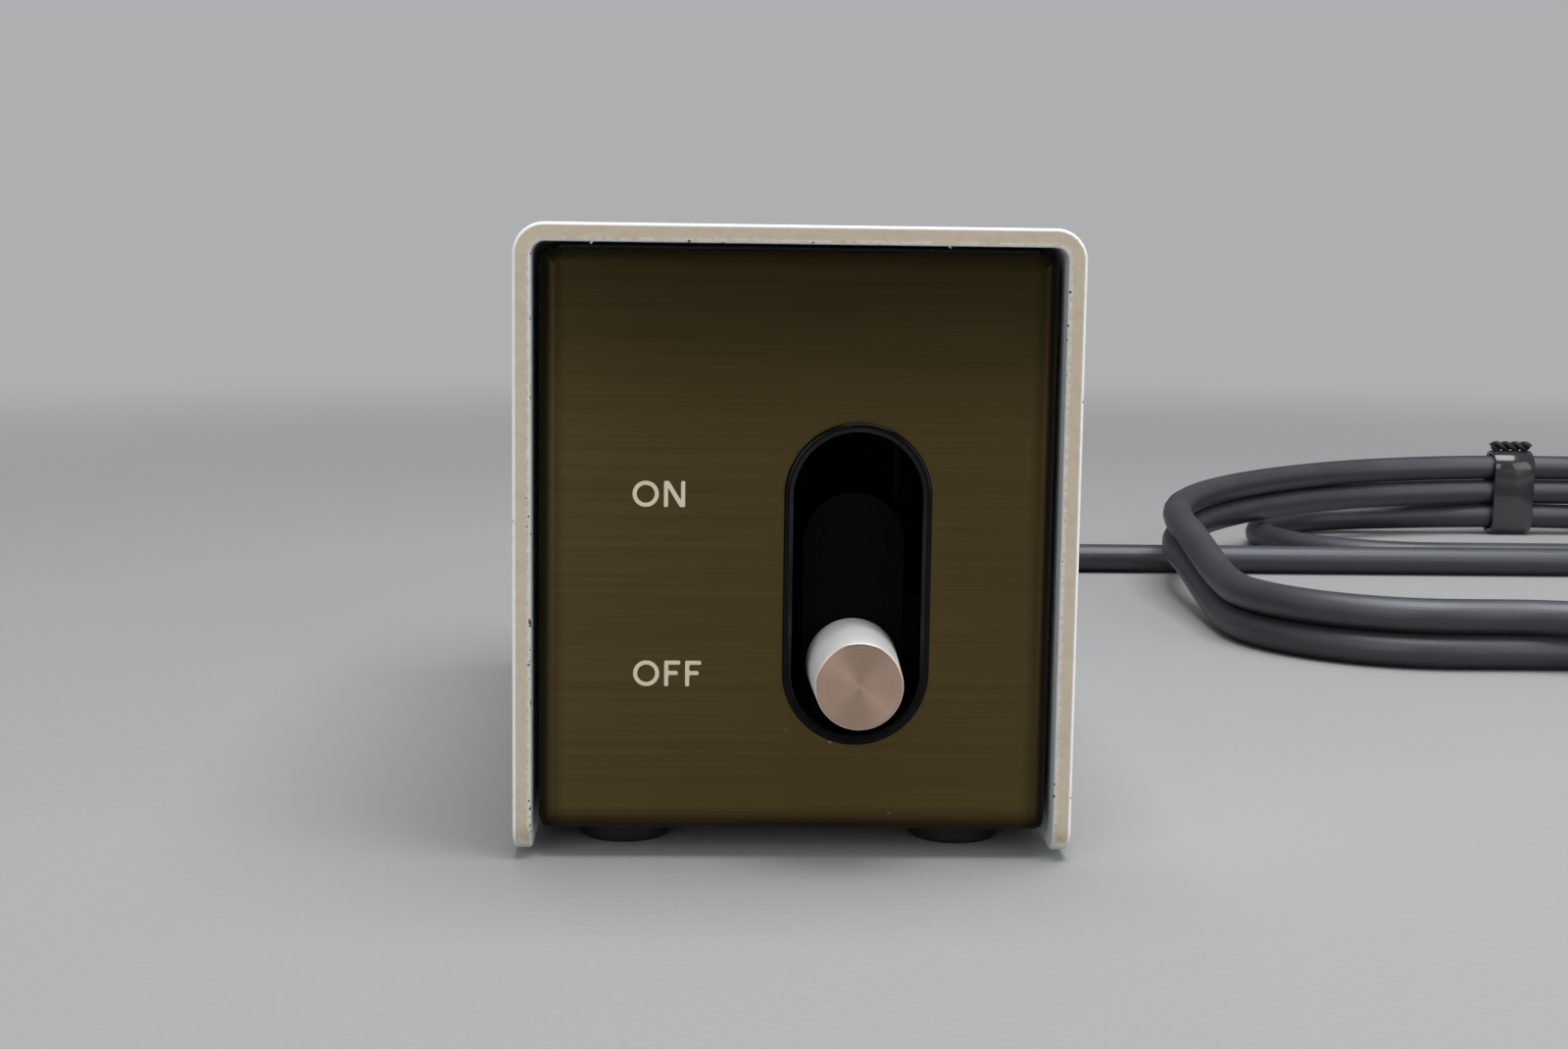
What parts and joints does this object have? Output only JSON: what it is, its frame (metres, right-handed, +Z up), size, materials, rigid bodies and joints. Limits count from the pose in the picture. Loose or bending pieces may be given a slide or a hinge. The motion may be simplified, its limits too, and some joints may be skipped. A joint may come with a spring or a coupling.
{
  "type": "moving coil step-up transformer",
  "caption": "Small upright audio transformer box: folded sheet cover, brushed front panel with a sliding selector knob in an oval slot, rear jacks and a captive output lead.",
  "frame": {"origin": "on the floor under the middle of the box, with its knob and its ground post counted and the lead left out", "axes": "+X to the right seen from the front, +Y from the front panel to the rear panel, +Z up"},
  "size_m": [0.3641, 0.377, 0.0882],
  "materials": {
    "cover_paint": "cream enamel, semi-matt",
    "chassis_steel": "zinc-plated sheet",
    "panel_bronze": "horizontally brushed, bronze anodised",
    "rear_paint": "black enamel, fine texture",
    "steel_screw": "plated",
    "black_screw": "black oxide",
    "escutcheon_plastic": "moulded, glossy",
    "knob_aluminium": "turned, bright",
    "shaft_steel": "ground",
    "shutter_plastic": "moulded, black",
    "phenolic": "paper laminate",
    "contact_brass": "plated contacts",
    "jack_metal": "nickel plated",
    "bush_rubber": "moulded",
    "wire_red": "insulated wire",
    "wire_blue": "insulated wire",
    "cord_rubber": "smooth jacket",
    "tie_plastic": "wire in a plastic strip",
    "foot_rubber": "moulded",
    "can_shield": "drawn, annealed",
    "core_iron": "stacked laminations",
    "bobbin_plastic": "moulded",
    "winding_copper": "enamelled copper wire",
    "jack_white": "moulded",
    "jack_red": "moulded",
    "plug_cover": "moulded"
  },
  "bodies": {
    "housing": {"top_cover": "cover_paint", "chassis": "chassis_steel", "front_panel": "panel_bronze", "rear_panel": "rear_paint", "foot_screws": "steel_screw", "cover_screws": "black_screw", "front_panel_screws": "steel_screw", "rear_panel_screws": "black_screw", "escutcheon": "escutcheon_plastic", "switch_frame": "chassis_steel", "switch_board": "phenolic", "fixed_contacts": "contact_brass", "switch_screws": "steel_screw", "can_screws": "steel_screw", "jack_nuts": "steel_screw", "ground_post": "jack_metal", "cable_bush": "bush_rubber", "input_wires": "wire_red", "output_wires": "wire_blue", "output_lead": "cord_rubber", "output_coil": "cord_rubber", "cord_tie": "tie_plastic", "split_sleeve": "bush_rubber", "foot_front_left": "foot_rubber", "foot_rear_left": "foot_rubber", "guide_rod_left": "shaft_steel", "can_left": "can_shield", "core_left": "core_iron", "bobbin_left": "bobbin_plastic", "primary_left": "winding_copper", "secondary_left": "winding_copper", "jack_shell_left": "jack_metal", "jack_insulator_left": "jack_white", "jack_contact_left": "contact_brass", "tail_left": "cord_rubber", "plug_shell_left": "plug_cover", "plug_contact_left": "jack_metal", "foot_front_right": "foot_rubber", "foot_rear_right": "foot_rubber", "guide_rod_right": "shaft_steel", "can_right": "can_shield", "core_right": "core_iron", "bobbin_right": "bobbin_plastic", "primary_right": "winding_copper", "secondary_right": "winding_copper", "jack_shell_right": "jack_metal", "jack_insulator_right": "jack_red", "jack_contact_right": "contact_brass", "tail_right": "cord_rubber", "plug_shell_right": "plug_cover", "plug_contact_right": "jack_metal"},
    "selector": {"knob": "knob_aluminium", "knob_shaft": "shaft_steel", "slide_shutter": "shutter_plastic", "contact_carrier": "phenolic", "wiper_contacts": "contact_brass", "detent_ball": "shaft_steel", "detent_spring": "shaft_steel"},
    "thumb_nut": {"ground_nut": "jack_metal"}
  },
  "joints": [
    {"name": "selector_slide", "type": "slide", "parent": "housing", "child": "selector", "axis": [0, 0, 1], "range_m": [0, 0.025]},
    {"name": "ground_nut_turn", "type": "hinge", "parent": "housing", "child": "thumb_nut", "pos_m": [-0.014, 0.0774, 0.028], "axis": [0, 1, 0], "continuous": true}
  ]
}
